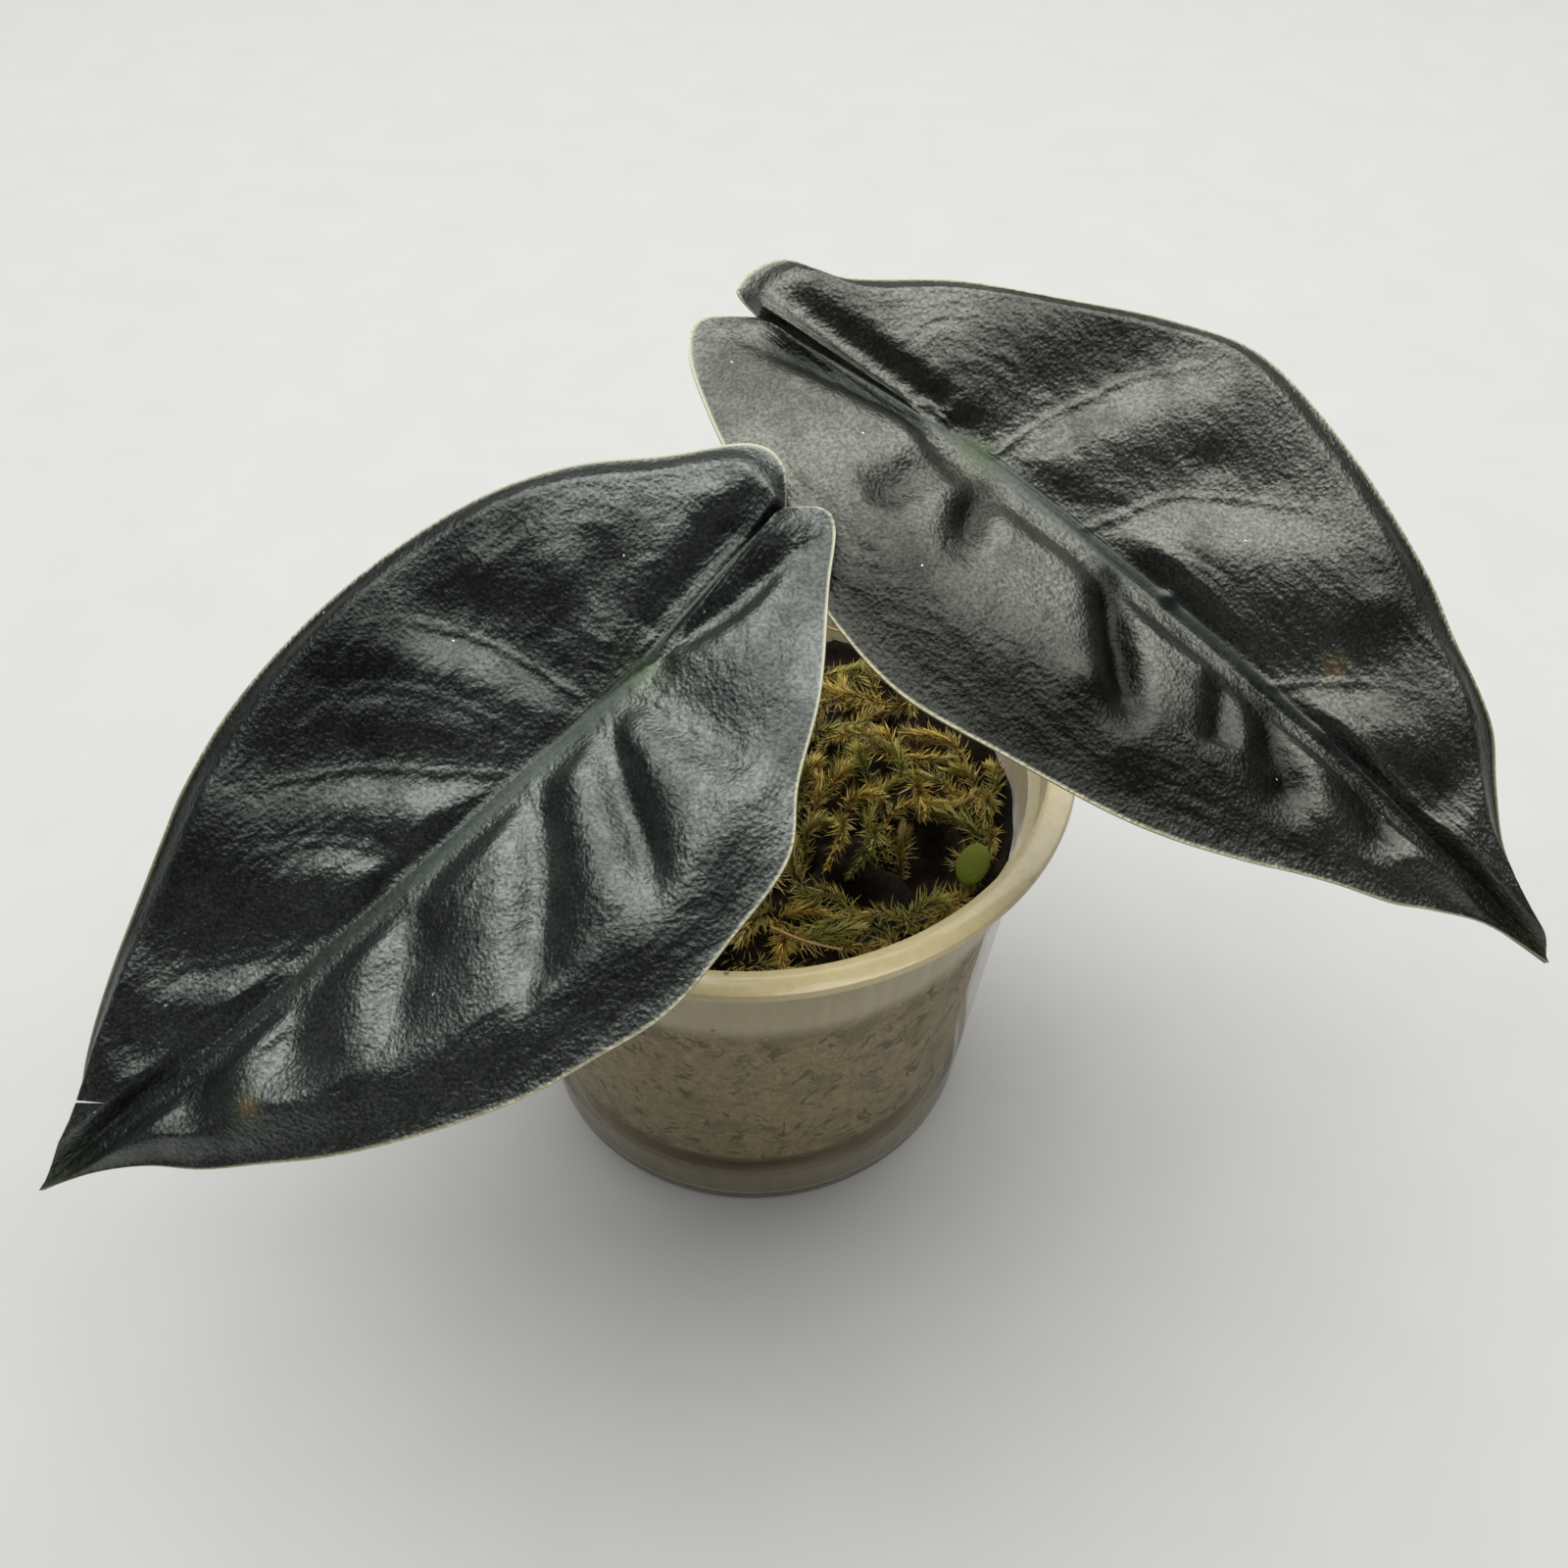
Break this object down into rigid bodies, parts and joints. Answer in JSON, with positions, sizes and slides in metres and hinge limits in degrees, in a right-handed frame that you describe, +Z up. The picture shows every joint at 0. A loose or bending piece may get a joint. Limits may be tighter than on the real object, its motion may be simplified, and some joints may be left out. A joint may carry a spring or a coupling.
{
  "type": "potted alocasia infernalis",
  "caption": "Young potted aroid with dark, quilted, shield-shaped leaves on arched stalks, rooted in long-fibre moss in a milky clear plastic pot with a flat rim.",
  "frame": {"origin": "centre of the pot's foot, on the surface that the pot stands on", "axes": "+Z up, +X towards the side of the higher right-hand leaf, -Y to the front, where the lower leaf hangs over the rim"},
  "size_m": [0.1714, 0.1138, 0.1258],
  "materials": {
    "pot_plastic": "milky translucent, slightly scuffed",
    "moss": "long-fibre moss, damp, golden brown to olive",
    "stem": "matt plant tissue with papery sheaths",
    "stalk": "smooth waxy leaf stalk",
    "blade": "satin, near-black green with a metallic sheen",
    "sprout": "fresh green, soft"
  },
  "bodies": {
    "root": {"pot": "pot_plastic", "moss": "moss", "stem": "stem", "sprout": "sprout", "stalk_left": "stalk", "stalk_right": "stalk", "blade_left": "blade", "blade_right": "blade"}
  },
  "joints": []
}
